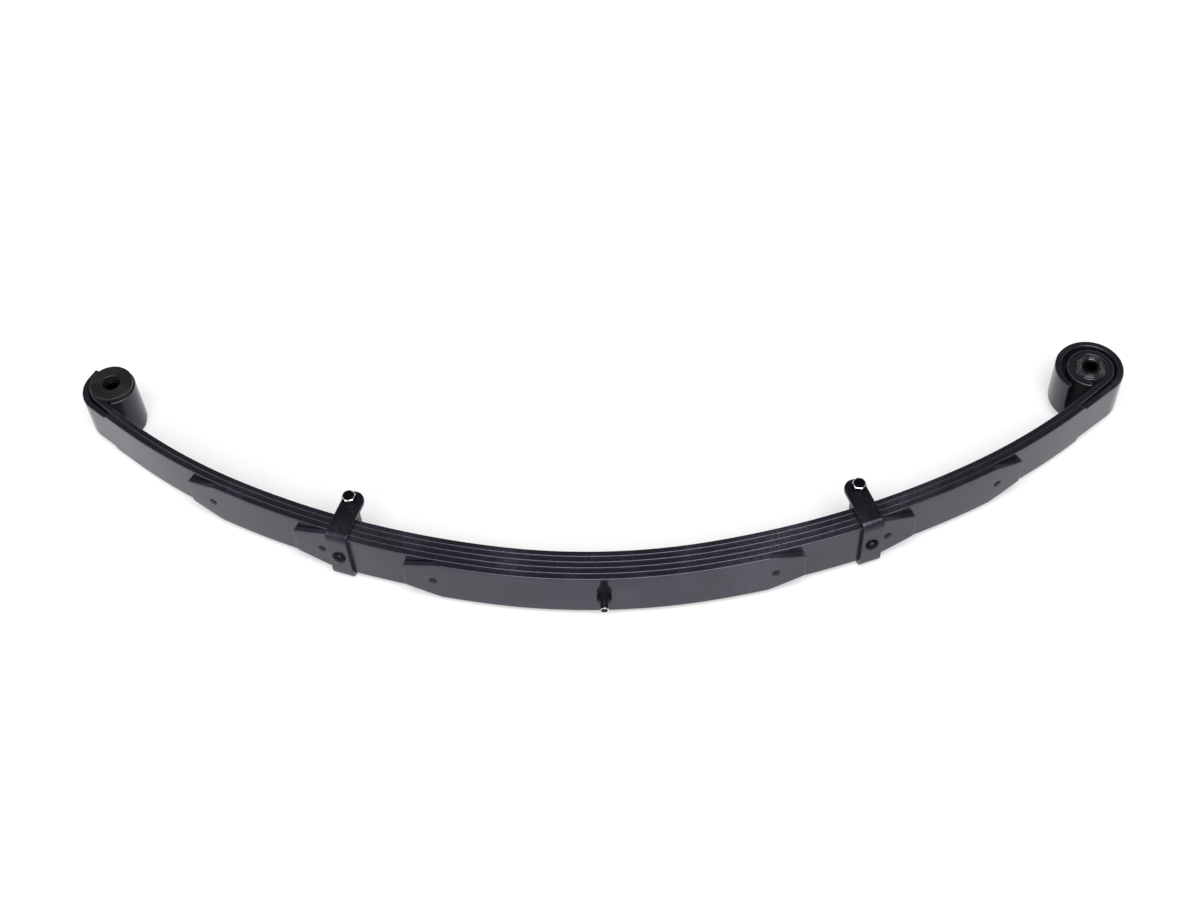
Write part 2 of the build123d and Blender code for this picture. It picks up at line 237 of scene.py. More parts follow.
def sweep_bar(stops, radius, columns=9, wave=0.0, seed=0.0):
    """Mesh of a flat bar along its stops, with slightly wavy faces and edges.

    A stop is (centre, normal, width axis, half width, half thickness, distance).
    """
    verts = []
    for centre, normal, across, half_wide, half_thick, distance in stops:
        for a, b in bar_section(half_thick, half_wide, radius, columns):
            calm = min(1.0, abs(distance) / calm_length)
            lift = calm * wave * noise.noise(Vector((distance * 28, b * 34, seed)))
            edge = calm * wave * 1.6 * noise.noise(Vector((distance * 60, a * 90, seed + 7)))
            a_moved = a + copysign(lift, a) if abs(b) < half_wide - 0.5 * mm else a
            b_moved = b + copysign(edge, b) if abs(b) > half_wide - 1.5 * mm else b
            verts.append(centre + normal * a_moved + across * b_moved)
    ring = len(verts) // len(stops)
    faces = []
    for i in range(len(stops) - 1):
        for j in range(ring):
            k = (j + 1) % ring
            faces.append((i * ring + j, (i + 1) * ring + j, (i + 1) * ring + k, i * ring + k))
    return verts, faces, ring


def cap(faces, ring, stops, at_end):
    """Close one end of a swept bar."""
    first = (stops - 1) * ring if at_end else 0
    order = range(ring) if at_end else reversed(range(ring))
    faces.append(tuple(first + j for j in order))


def outward(verts, faces):
    """Turn the faces round if the closed mesh is inside out."""
    volume = 0.0
    for face in faces:
        for b, c in zip(face[1:-1], face[2:]):
            volume += verts[face[0]].dot(verts[b].cross(verts[c]))
    return faces if volume > 0 else [tuple(reversed(f)) for f in faces]


def round_off(distance_to_end, radius):
    """How much a bar's half sizes shrink near its rounded end."""
    if distance_to_end >= radius:
        return 0.0
    return radius - sqrt(max(0.0, radius**2 - (radius - distance_to_end) ** 2))


end_steps = (1.0, 0.72, 0.45, 0.22, 0.08, 0.0)  # fractions of the end's rounding radius


def with_rounded_end(path, radius):
    """Path of (centre, normal, distance) with close stops added before its last one."""
    last_centre, last_normal, last_distance = path[-1]
    before = path[-2]
    kept = [stop for stop in path if abs(stop[2]) < abs(last_distance) - 1.01 * radius]
    run = abs(last_distance) - abs(before[2])
    for step in end_steps:
        blend = step * radius / run
        centre = last_centre.lerp(before[0], blend)
        normal = last_normal.lerp(before[1], blend).normalized()
        kept.append((centre, normal, copysign(abs(last_distance) - step * radius, last_distance)))
    return kept


def arch_path(side, layer, end_station):
    """Middle of a leaf's thickness from the centre to a station, every 5 mm."""
    offset = layer * leaf_pitch + leaf_thickness / 2
    count = ceil(abs(end_station) / (5 * mm)) + 1
    path = []
    for distance in spaced(0.0, abs(end_station), count):
        station = side * max(distance, 1e-9)  # a station of 0 has no side
        path.append((on_arch(station, offset), convex_normal(station), side * distance))
    return path


def curl_path(side, centre, radius, start_turn, sweep, start_distance, step=5.0):
    """Arc of a bar's middle round an eye, after its first point."""
    count = ceil(sweep / step) + 1
    path = []
    for turn in spaced(0.0, sweep, count)[1:]:
        angle = start_turn + side * radians(turn)
        normal = Vector((cos(angle), sin(angle), 0))
        distance = start_distance + side * radius * radians(turn)
        path.append((centre + normal * radius, normal, distance))
    return path


def tip_width_at(to_end):
    """Half width of a short leaf near its blunt tip."""
    slope = (half_width - tip_half_width) / tip_length
    lean = atan(slope)
    tangent = tip_corner_radius * tan((pi / 2 - lean) / 2)
    if to_end < tangent * cos(lean):
        centre_width = tip_half_width - tangent
        return centre_width + sqrt(max(0.0, tip_corner_radius**2 - (tip_corner_radius - to_end) ** 2))
    return min(half_width, tip_half_width + slope * to_end)


def shouldered(side, distance):
    """Half width of the second leaf, which narrows before its wraps."""
    into = abs(distance) - (shoulder_station[side] - shoulder_depth)
    return half_width - max(0.0, min(shoulder_depth, into))


def leaf_stops(path, width_at):
    """Stops of a leaf along a path that ends in a rounded edge."""
    end = abs(path[-1][2])
    stops = []
    for centre, normal, distance in path:
        shrink = round_off(end - abs(distance), leaf_edge_radius)
        wide = width_at(distance) - shrink
        thick = leaf_thickness / 2 - shrink
        stops.append((centre, normal, Vector((0, 0, 1)), wide, thick, distance))
    return stops


def main_leaf_path(side):
    """Middle of the main leaf from the centre bolt, with its eye rolled nearly shut."""
    path = arch_path(side, 0, eye_stations[side])
    start_turn = heading(eye_stations[side]) - pi / 2
    open_turn = degrees(acos((eye_bore_radius - eye_roll_gap) / eye_outer_radius))
    middle = eye_bore_radius + leaf_thickness / 2
    path += curl_path(side, eye_centre(side), middle, start_turn, 360 - open_turn, path[-1][2])
    return with_rounded_end(path, leaf_edge_radius)


def second_leaf_path(side):
    """Middle of the second leaf: along the arch, straight to its curl, round it, and a tail."""
    leave = leave_station(side)
    path = arch_path(side, 1, leave)
    wrap_radius = eye_outer_radius + wrap_clearance[side] + leaf_thickness / 2
    start_turn = heading(leave) - pi / 2
    centre = wrap_centre(side)
    normal = Vector((cos(start_turn), sin(start_turn), 0))
    start, end = path[-1][0], centre + normal * wrap_radius
    run = (end - start).length
    for step in spaced(0.0, 1.0, ceil(run / (2.5 * mm)) + 1)[1:]:
        path.append((start.lerp(end, step), normal, leave + side * run * step))
    path += curl_path(side, centre, wrap_radius, start_turn, wrap_sweep[side], leave + side * run)
    tip, normal, distance = path[-1]
    ahead = side * Vector((-normal.y, normal.x, 0))
    for run in spaced(0.0, wrap_tail[side], 5)[1:] if wrap_tail[side] else ():
        path.append((tip + ahead * run, normal, distance + side * run))
    return with_rounded_end(path, leaf_edge_radius)


def finer_near(path, low, high, step):
    """Path with more stops between two distances, for a change of width."""
    fine = [path[0]]
    for before, after in zip(path, path[1:]):
        a, b = abs(before[2]), abs(after[2])
        if b > low and a < high:
            parts = max(1, ceil((b - a) / step))
            for i in range(1, parts):
                t = i / parts
                normal = before[1].lerp(after[1], t).normalized()
                fine.append((before[0].lerp(after[0], t), normal, before[2] + (after[2] - before[2]) * t))
        fine.append(after)
    return fine


def paint_edge_highlight(leaf):
    """Give a leaf's rounded long edges, which are neither face nor side, a lighter paint as a painted
    highlight.
    """
    leaf.data.materials.append(leaf_edge_highlight)
    for face in leaf.data.polygons:
        if 0.3 < abs(face.normal.z) < 0.93:
            face.material_index = 1


def add_leaf_half(leaf_name, side, path, width_at, seed):
    """One half of a leaf, which bends between the centre and that side's arm."""
    stops = leaf_stops(path, width_at)
    verts, faces, ring = sweep_bar(stops, leaf_edge_radius, wave=leaf_wave, seed=seed)
    cap(faces, ring, len(stops), at_end=True)
    cap(faces, ring, len(stops), at_end=False)
    faces = outward(verts, faces)[:-1]  # the halves meet open, and the last cap is only for the test
    name = f"{leaf_name}_leaf_{hands[side]}_half"
    obj = add_piece(name, verts, faces, leaf_paint, "leaf_paint", f"{leaf_name}_leaf")
    # the rounded edges get a lighter colour: a painted highlight
    paint_edge_highlight(obj)
    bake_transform(obj)
    return obj


def axes_from(axis, reference):
    """Three square axes: the last along axis, the first as near as it can be to reference."""
    axis = Vector(axis).normalized()
    x = Vector(reference)
    x = (x - axis * x.dot(axis)).normalized()
    return x, axis.cross(x), axis


def fillet_profile(points, radius, steps=4):
    """Round the inner corners of a profile of (radius, height) points."""
    out = [Vector(points[0])]
    for before, corner, after in zip(points, points[1:], points[2:]):
        before, corner, after = Vector(before), Vector(corner), Vector(after)
        one, two = (before - corner), (after - corner)
        angle = one.angle(two)
        if angle > radians(175):
            out.append(corner)
            continue
        reach = min(radius / tan(angle / 2), 0.45 * one.length, 0.45 * two.length)
        start = corner + one.normalized() * reach
        end = corner + two.normalized() * reach
        for i in range(steps + 1):
            t = i / steps
            out.append(start * (1 - t) ** 2 + corner * 2 * t * (1 - t) + end * t**2)
    out.append(Vector(points[-1]))
    return out


def lathe(origin, axis, profile, closed, segments=96, reference=(1, 0, 0.01), wobble=0.0, seed=0.0):
    """Turn a profile of (radius, height) points round an axis."""
    x, y, z = axes_from(axis, reference)
    verts, rings = [], []
    for radius, height in profile:
        if radius < 1e-7:
            rings.append([len(verts)])
            verts.append(origin + z * height)
            continue
        ring = []
        for i in range(segments):
            turn = 2 * pi * i / segments
            spot = x * cos(turn) + y * sin(turn)
            uneven = wobble * noise.noise(spot * 1.7 + Vector((seed, radius * 90, height * 60)))
            ring.append(len(verts))
            verts.append(origin + spot * (radius + uneven) + z * height)
        rings.append(ring)
    pairs = list(zip(rings, rings[1:])) + ([(rings[-1], rings[0])] if closed else [])
    faces = []
    for low, high in pairs:
        for i in range(segments):
            k = (i + 1) % segments
            if len(low) == 1 and len(high) == 1:
                continue
            if len(low) == 1:
                faces.append((low[0], high[k], high[i]))
            elif len(high) == 1:
                faces.append((low[i], low[k], high[0]))
            else:
                faces.append((low[i], low[k], high[k], high[i]))
    return verts, outward(verts, faces)


def turned(name, origin, axis, points, radius, material, slot, node, body, closed=False, **kw):
    """A lathed piece: a closed profile is a ring's section, an open one ends on the axis."""
    if closed:
        middle = (Vector(points[0]) + Vector(points[-1])) / 2
        profile = fillet_profile([middle, *points, middle], radius)[:-1]
    else:
        profile = fillet_profile(points, radius)
    verts, faces = lathe(Vector(origin), axis, profile, closed, **kw)
    return add_piece(name, verts, faces, material, slot, node, body)


def hexagon(origin, axis, reference, height, flat, rim_drop, bore, under_drop=0.0, crown=0.0):
    """A hexagon with its corners cut by a cone on top, and below too if under_drop is set."""
    x, y, z = axes_from(axis, reference)
    per_side = 10
    segments = 6 * per_side
    rim = 0.955 * flat
    verts, rings = [], []
    corner = flat / cos(radians(30))

    def ring_at(radius_at, height_at):
        ring = []
        for i in range(segments):
            turn = 2 * pi * i / segments
            spot = x * cos(turn) + y * sin(turn)
            ring.append(len(verts))
            verts.append(origin + spot * radius_at(turn) + z * height_at(turn))
        rings.append(ring)

    def hex_radius(turn):
        local = (turn + radians(30)) % radians(60) - radians(30)
        sharp = flat / cos(local)
        return min(sharp, 0.985 * corner)

    def slope(turn):
        return (hex_radius(turn) - rim) / (corner - rim)

    ring_at(lambda t: bore, lambda t: 0.0)
    ring_at(lambda t: rim, lambda t: 0.0)
    ring_at(hex_radius, lambda t: under_drop * slope(t))
    ring_at(hex_radius, lambda t: height / 2)
    ring_at(hex_radius, lambda t: height - rim_drop * slope(t))
    ring_at(lambda t: rim, lambda t: height)
    ring_at(lambda t: 0.93 * rim, lambda t: height + 0.1 * crown)
    if bore:
        ring_at(lambda t: bore + 0.5 * mm, lambda t: height + crown)
        ring_at(lambda t: bore, lambda t: height - 0.4 * mm)
        rings.append(rings[0])
    else:
        ring_at(lambda t: 0.5 * rim, lambda t: height + 0.8 * crown)
        ring_at(lambda t: 0.15 * rim, lambda t: height + crown)
    faces = []
    for low, high in zip(rings, rings[1:]):
        for i in range(segments):
            k = (i + 1) % segments
            faces.append((low[i], low[k], high[k], high[i]))
    if not bore:
        faces.append(tuple(rings[-1]))
    return verts, faces


def threaded_rod(origin, axis, start, end, radius, depth):
    """A screw thread along an axis, with a chamfered end."""
    x, y, z = axes_from(axis, (1, 0, 0.01))
    per_turn = 40
    rows = ceil((end - start) / thread_pitch * 10) + 1
    verts, rings = [], []
    for height in spaced(start, end, rows):
        ring = []
        for i in range(per_turn):
            turn = 2 * pi * i / per_turn
            phase = (height / thread_pitch - i / per_turn) % 1.0
            tooth = min(1.0, max(0.0, abs(phase - 0.5) * 2.6 - 0.25))
            here = radius - depth * (1 - tooth)
            here = min(here, radius - thread_chamfer + (end - height) + 0.15 * mm)
            ring.append(len(verts))
            verts.append(origin + (x * cos(turn) + y * sin(turn)) * here + z * height)
        rings.append(ring)
    faces = []
    for low, high in zip(rings, rings[1:]):
        for i in range(per_turn):
            k = (i + 1) % per_turn
            faces.append((low[i], low[k], high[k], high[i]))
    faces.append(tuple(rings[-1]))
    faces.append(tuple(reversed(rings[0])))
    return verts, outward(verts, faces)


def joined(*parts):
    """One mesh from several (verts, faces) pairs."""
    verts, faces = [], []
    for part_verts, part_faces in parts:
        first = len(verts)
        verts += part_verts
        faces += [tuple(first + i for i in face) for face in part_faces]
    return verts, faces


# Materials

class Shader:
    """A material's node tree, with short calls for the nodes used here."""

    def __init__(self, name, colour, roughness, **constants):
        self.material = bpy.data.materials.new(name)
        self.material.use_nodes = True
        self.tree = self.material.node_tree
        self.bsdf = self.tree.nodes["Principled BSDF"]
        self.bsdf.inputs["Base Color"].default_value = (*colour, 1)
        self.bsdf.inputs["Roughness"].default_value = roughness
        for socket, value in constants.items():
            self.bsdf.inputs[socket.replace("_", " ")].default_value = value
        self.place = self.tree.nodes.new("ShaderNodeTexCoord").outputs["Object"]

    def node(self, kind, **inputs):
        """A new node with its inputs linked or set."""
        made = self.tree.nodes.new(kind)
        for key, value in inputs.items():
            socket = made.inputs[key]
            if isinstance(value, bpy.types.NodeSocket):
                self.tree.links.new(value, socket)
            else:
                socket.default_value = value
        return made

    def stretched(self, x, y, z):
        """Object coordinates scaled by axis."""
        return self.node("ShaderNodeMapping", Vector=self.place, Scale=(x, y, z)).outputs["Vector"]

    def noise(self, scale, detail=4.0, rough=0.55, place=None, distort=0.0):
        made = self.node("ShaderNodeTexNoise", Vector=place or self.place, Scale=scale, Detail=detail)
        made.inputs["Roughness"].default_value = rough
        made.inputs["Distortion"].default_value = distort
        return made.outputs["Fac"]

    def cells(self, scale, place=None):
        made = self.node("ShaderNodeTexVoronoi", Vector=place or self.place, Scale=scale)
        return made.outputs["Distance"]

    def ramp(self, value, low, high, start=0.0, end=1.0):
        """A smooth step from start to end as value goes from low to high."""
        made = self.node("ShaderNodeMapRange", Value=value)
        made.interpolation_type = "SMOOTHSTEP"
        for key, number in (("From Min", low), ("From Max", high), ("To Min", start), ("To Max", end)):
            made.inputs[key].default_value = number
        return made.outputs["Result"]

    def math(self, operation, one, two=0.0):
        made = self.tree.nodes.new("ShaderNodeMath")
        made.operation = operation
        for socket, value in zip(made.inputs, (one, two)):
            if isinstance(value, bpy.types.NodeSocket):
                self.tree.links.new(value, socket)
            else:
                socket.default_value = value
        return made.outputs["Value"]

    def mix(self, factor, one, two):
        made = self.tree.nodes.new("ShaderNodeMix")
        made.data_type = "RGBA"
        factor_in, one_in, two_in = made.inputs["Factor"], made.inputs[6], made.inputs[7]
        for socket, value in ((factor_in, factor), (one_in, one), (two_in, two)):
            if isinstance(value, bpy.types.NodeSocket):
                self.tree.links.new(value, socket)
            elif socket is factor_in:
                socket.default_value = value
            else:
                socket.default_value = (*value, 1)
        return made.outputs[2]

    def bump(self, height, depth, normal=None):
        made = self.node("ShaderNodeBump", Height=height, Strength=1.0, Distance=depth)
        if normal:
            self.tree.links.new(normal, made.inputs["Normal"])
        return made.outputs["Normal"]

    def to(self, socket, value):
        """Link a value to the shader."""
        self.tree.links.new(value, self.bsdf.inputs[socket])


def paint(name, colour, dusty, gloss, peel, specks=0.6, lumps=0.0, specular=0.5):
    """Sprayed paint: orange peel, uneven gloss, dusty patches, specks of grit and fine scratches."""
    s = Shader(name, colour, gloss, Specular_IOR_Level=specular, IOR=1.5)
    s.bsdf.inputs["Specular Tint"].default_value = (0.72, 0.69, 1.0, 1)
    patches = s.ramp(s.noise(9, 5, 0.6, distort=0.4), 0.46, 0.72)
    streaks = s.ramp(s.noise(1, 4, 0.6, s.stretched(14, 14, 130)), 0.5, 0.78)
    fine = s.noise(420, 3, 0.6)
    grit = s.ramp(s.cells(260), 0.0, 0.16, 1.0, 0.0)
    grit = s.math("MULTIPLY", grit, s.ramp(s.noise(60, 2), 0.6, 0.7))
    scratch = s.ramp(s.noise(1, 2, 0.7, s.stretched(900, 40, 160)), 0.66, 0.72)
    dust = s.math("MAXIMUM", s.math("MULTIPLY", patches, 0.55), s.math("MULTIPLY", streaks, 0.5))
    dust = s.math("MULTIPLY", dust, s.ramp(fine, 0.25, 0.65))
    shade = s.mix(dust, colour, dusty)
    shade = s.mix(s.math("MULTIPLY", grit, specks), shade, (0.16, 0.16, 0.18))
    s.to("Base Color", s.mix(s.math("MULTIPLY", scratch, 0.18 * specks), shade, (0.12, 0.12, 0.14)))
    rough = s.math("ADD", s.math("MULTIPLY", s.noise(26, 4), 0.22), gloss - 0.11)
    rough = s.math("ADD", rough, s.math("MULTIPLY", dust, 0.22))
    s.to("Roughness", s.math("ADD", rough, s.math("MULTIPLY", grit, 0.2)))
    normal = s.bump(s.noise(55, 3), 0.35 * mm * (0.3 + lumps))
    normal = s.bump(s.noise(650, 2), peel, normal)
    normal = s.bump(grit, 0.05 * mm, normal)
    s.to("Normal", normal)
    return s.material


def make_gap_shade(name):
    """Near-black rough steel for the gaps round the eyes: painted shade."""
    s = Shader(name, (0.004, 0.004, 0.005), 0.7, Specular_IOR_Level=0.12)
    flakes = s.ramp(s.noise(140, 5, 0.6), 0.5, 0.7)
    s.to("Base Color", s.mix(flakes, (0.003, 0.003, 0.004), (0.009, 0.008, 0.008)))
    s.to("Roughness", s.ramp(flakes, 0.0, 1.0, 0.6, 0.8))
    s.to("Normal", s.bump(s.noise(420, 3), 0.05 * mm))
    return s.material


def make_bolt_rim(name):
    """Bare steel where the paint is knocked off, with some paint left."""
    s = Shader(name, (0.75, 0.75, 0.77), 0.25, Metallic=1.0)
    left = s.ramp(s.noise(330, 4, 0.6), 0.52, 0.62)
    s.to("Base Color", s.mix(left, (0.82, 0.82, 0.84), (0.03, 0.03, 0.035)))
    s.to("Metallic", s.ramp(left, 0.3, 0.6, 1.0, 0.0))
    s.to("Roughness", s.ramp(s.noise(900, 2), 0.3, 0.7, 0.16, 0.36))
    s.to("Normal", s.bump(s.noise(1400, 2), 0.02 * mm))
    return s.material


def make_spacer_steel(name):
    """Steel tube under a thin, uneven coat of grey overspray."""
    s = Shader(name, (0.2, 0.2, 0.21), 0.45)
    coat = s.ramp(s.noise(70, 5, 0.6), 0.38, 0.62)
    ends = s.noise(1, 3, 0.5, s.stretched(30, 30, 240))
    shade = s.mix(coat, (0.035, 0.032, 0.03), (0.085, 0.08, 0.075))
    s.to("Base Color", s.mix(s.ramp(ends, 0.55, 0.7), shade, (0.05, 0.05, 0.055)))
    s.to("Roughness", s.ramp(coat, 0.0, 1.0, 0.3, 0.55))
    s.to("Normal", s.bump(s.noise(480, 3), 0.06 * mm))
    return s.material


def make_sleeve_steel(name):
    """Turned steel with a film of oil, kept near-black as painted shade so that the bores read black."""
    s = Shader(name, (0.02, 0.02, 0.019), 0.5, Metallic=1.0)
    grain = s.noise(1, 3, 0.6, s.stretched(60, 60, 2600))
    blotch = s.ramp(s.noise(90, 4), 0.4, 0.65)
    s.to("Base Color", s.mix(blotch, (0.025, 0.024, 0.023), (0.012, 0.01, 0.009)))
    s.to("Roughness", s.ramp(grain, 0.3, 0.7, 0.22, 0.5))
    s.to("Normal", s.bump(grain, 0.02 * mm))
    return s.material


def make_polymer(name, colour, worn, gloss, specular=0.3):
    """Moulded polyurethane or nylon: faint flow marks, scuffs and dust."""
    s = Shader(name, colour, gloss, Specular_IOR_Level=specular)
    flow = s.noise(38, 5, 0.6, distort=0.8)
    scuff = s.ramp(s.noise(160, 5, 0.65), 0.52, 0.74)
    s.to("Base Color", s.mix(s.math("MULTIPLY", scuff, 0.7), s.mix(flow, colour, worn), worn))
    s.to("Roughness", s.ramp(flow, 0.2, 0.8, gloss - 0.08, gloss + 0.14))
    normal = s.bump(s.noise(260, 3), 0.05 * mm)
    s.to("Normal", s.bump(s.noise(1500, 2), 0.012 * mm, normal))
    return s.material


def make_rubber(name):
    """Rubber dusted with paint, uneven where the spray caught it."""
    s = Shader(name, (0.03, 0.03, 0.032), 0.5, Specular_IOR_Level=0.5)
    spray = s.ramp(s.noise(120, 5, 0.65), 0.42, 0.62)
    s.to("Base Color", s.mix(spray, (0.012, 0.011, 0.013), (0.045, 0.042, 0.047)))
    s.to("Roughness", s.ramp(spray, 0.0, 1.0, 0.14, 0.36))
    normal = s.bump(s.noise(190, 4), 0.25 * mm)
    s.to("Normal", s.bump(s.noise(900, 2), 0.03 * mm, normal))
    return s.material


leaf_paint = paint(
    "leaf_paint", colour=(0.008, 0.0075, 0.0105), dusty=(0.04, 0.038, 0.048), gloss=0.17, peel=0.012 * mm,
    specular=0.48,
)
# lighter paint for the leaves' rounded edges: a painted highlight
leaf_edge_highlight = paint(
    "leaf_edge_highlight", colour=(0.02, 0.0195, 0.022), dusty=(0.085, 0.084, 0.09), gloss=0.27, peel=0.012 * mm,
    specular=0.55,
)
clip_paint = paint(
    "clip_paint", colour=(0.004, 0.004, 0.005), dusty=(0.018, 0.018, 0.021), gloss=0.2, peel=0.05 * mm,
    lumps=0.6,
)
fastener_paint = paint(
    "fastener_paint", colour=(0.002, 0.002, 0.0025), dusty=(0.009, 0.009, 0.01), gloss=0.24,
    peel=0.02 * mm, specks=0.3, specular=0.14,
)
# near-black painted shade for the gaps round the eyes
gap_shade_black = make_gap_shade("gap_shade_black")
bolt_rim = make_bolt_rim("bolt_rim_bare_steel")
spacer_steel = make_spacer_steel("spacer_steel")
sleeve_steel = make_sleeve_steel("sleeve_steel")
pad_plastic = make_polymer("pad_plastic", (0.003, 0.003, 0.0035), (0.012, 0.012, 0.014), 0.3, specular=0.1)
bushing_plastic = make_polymer("bushing_plastic", (0.003, 0.003, 0.0035), (0.011, 0.011, 0.012), 0.34)
bushing_rubber = make_rubber("bushing_rubber")


# Leaves

gap_reach = eye_outer_radius + wrap_clearance[1] + 3 * mm


def paint_gap_shade(leaf, side, toward_wrap):
    """Give the faces in the gap between an eye and its wrap a near-black painted shade."""
    leaf.data.materials.append(gap_shade_black)
    shade_slot = len(leaf.data.materials) - 1
    centre = wrap_centre(side)
    for face in leaf.data.polygons:
        out = Vector((face.center.x - centre.x, face.center.y - centre.y, 0))
        facing = out.normalized().dot(face.normal)
        if out.length < gap_reach and abs(face.normal.z) < 0.5 and facing * toward_wrap > 0.5:
            face.material_index = shade_slot


def short_leaf_width(half_length):
    """Half width of a short leaf, as a function of the distance along it."""
    return lambda distance: tip_width_at(half_length - abs(distance))


for side in (-1, 1):
    main = add_leaf_half("main", side, main_leaf_path(side), lambda distance: half_width, seed=1.3 * side)
    # the faces inside each curl get near-black painted shade
    if side == 1:
        paint_gap_shade(main, side, 1)

    path = second_leaf_path(side)
    shoulder = shoulder_station[side]
    path = finer_near(path, shoulder - 6 * mm, shoulder + 2 * mm, 0.75 * mm)
    second = add_leaf_half("second", side, path, partial(shouldered, side), seed=4.1 * side)
    paint_gap_shade(second, side, -1)

    for leaf_name, layer, half_length in short_leaves:
        path = with_rounded_end(arch_path(side, layer, half_length), leaf_edge_radius)
        path = finer_near(path, half_length - tip_corner_radius, half_length, 0.4 * mm)
        add_leaf_half(leaf_name, side, path, short_leaf_width(half_length), seed=layer * 9.7 + side)


# Tip pads: the button seen on the convex face, its shank and the head let into the concave face

def add_pad(leaf_name, layer, side, half_length):
    station = side * (half_length - pad_inset)
    origin = on_arch(station, layer * leaf_pitch)
    face = leaf_thickness
    points = (
        (0, 0.1 * mm),
        (pad_head_radius, 0.1 * mm),
        (pad_head_radius, pad_head_thickness),
        (pad_shank_radius, pad_head_thickness),
        (pad_shank_radius, face + 0.1 * mm),
        (pad_rim_radius, face + 0.05 * mm),
        (pad_rim_radius - 0.2 * mm, face + 0.35 * mm),
        (pad_rim_radius - 1.0 * mm, face + 0.12 * mm),
        (pad_rim_radius - 1.8 * mm, face + 0.7 * mm),
        (1.2 * mm, face + pad_dome_height),
        (0, face + pad_dome_height),
    )
    hand = hands[side]
    name = f"{leaf_name}_leaf_{hand}_pad_button"
    node = f"{leaf_name}_leaf_{hand}_pad"
    turned(
        name, origin, convex_normal(station), points, 0.3 * mm, pad_plastic, "pad_plastic", node,
        f"{hand}_arm", segments=48, reference=(0, 0, 1),
    )


for side in (-1, 1):
    for leaf_name, layer, half_length in short_leaves:
        add_pad(leaf_name, layer, side, half_length)


# Centre bolt and nut

bolt_middle = Vector((0, 0, 0))
bolt_axis = Vector((0, -1, 0))  # from the head to the nut
stud_reach = pack_depth + nut_height + stud_length
head = fillet_profile(
    (
        (0, centre_head_height),
        (centre_head_radius, centre_head_height),
        (centre_head_radius, 0.1 * mm),
        (4.4 * mm, 0.1 * mm),
        (4.4 * mm, -1 * mm),
        (0, -1 * mm),
    ),
    0.9 * mm,
)
head_mesh = lathe(bolt_middle, -bolt_axis, head, closed=False, segments=64)
thread_start = pack_depth - 2 * mm
rod_mesh = threaded_rod(bolt_middle, bolt_axis, thread_start, stud_reach, thread_radius, thread_depth)
stud = add_piece(
    "centre_bolt_head_and_stud", *joined(head_mesh, rod_mesh), fastener_paint, "fastener_paint",
    "centre_bolt", "leaf_pack", sharp=50,
)
stud.data.materials.append(bolt_rim)
for face in stud.data.polygons:
    if -stud_reach < face.center.y < thread_chamfer - stud_reach and -0.97 < face.normal.y < -0.3:
        face.material_index = 1
nut_mesh = hexagon(
    bolt_axis * pack_depth, bolt_axis, up, nut_height, hex_flat, 1.0 * mm,
    bore=thread_radius - 0.1 * mm, under_drop=0.5 * mm,
)
add_piece(
    "centre_nut_hex", *nut_mesh, fastener_paint, "fastener_paint", "centre_nut", "leaf_pack", sharp=28,
)


# Rebound clips

def clip_frame(side):
    """Base point, inward, along and bolt-axis point of a clip."""
    station = clip_stations[side]
    turn = heading(station)
    along = Vector((cos(turn), sin(turn), 0))
    inward = Vector((-sin(turn), cos(turn), 0))
    base = on_arch(station, 4 * leaf_pitch)
    axis_point = base + inward * bolt_reach + along * side * clip_bolt_shift
    return base, inward, along, axis_point


def strap_stops(base, inward, along):
    """Stops of the U-shaped strap, from its lower ear round to its upper ear."""
    half_thick = strap_thickness / 2
    arm_z = strap_inner + half_thick
    ear_end = bolt_reach + strap_half_width
    arm_end = strap_bend - half_thick
    places = []
    ear_steps = [strap_half_width * (1 - cos(radians(a))) for a in (3, 8, 14, 22, 32, 44, 58, 74, 90)]
    inside = [ear_end - d for d in ear_steps] + spaced(ear_end - strap_half_width, arm_end, 9)[1:]
    for reach in inside:
        places.append((base + inward * reach - up * arm_z, -up, ear_end - reach))
    corner = base + inward * arm_end - up * (arm_z - strap_bend)
    for degree in (15, 30, 45, 60, 75, 90):
        a = radians(degree)
        normal = -up * cos(a) - inward * sin(a)
        places.append((corner + normal * strap_bend, normal, strap_half_width))
    for z in spaced(-(arm_z - strap_bend), 0, 6)[1:]:
        places.append((base - inward * half_thick + up * z, -inward, strap_half_width))
    mirrored = []
    for centre, normal, to_end in reversed(places[:-1]):
        flipped = Vector((centre.x, centre.y, -centre.z))
        mirrored.append((flipped, Vector((normal.x, normal.y, -normal.z)), to_end))
    stops = []
    for centre, normal, to_end in places + mirrored:
        short = max(0.0, strap_half_width - to_end)
        wide = sqrt(max(0.0, strap_half_width**2 - short**2))
        thick = half_thick - round_off(to_end, 0.8 * mm) * 0.8
        stops.append((centre, normal, along, max(wide, 1.2 * mm), max(thick, 1.4 * mm), 1.0))
    return stops


def add_strap(side):
    base, inward, along, _ = clip_frame(side)
    stops = strap_stops(base, inward, along)
    verts, faces, ring = sweep_bar(stops, 0.7 * mm, wave=strap_wave, seed=20.0 + side)
    cap(faces, ring, len(stops), at_end=True)
    cap(faces, ring, len(stops), at_end=False)
    hand = hands[side]
    add_piece(
        f"{hand}_clip_strap_bar", verts, outward(verts, faces), clip_paint, "clip_paint",
        f"{hand}_clip_strap", f"{hand}_arm",
    )


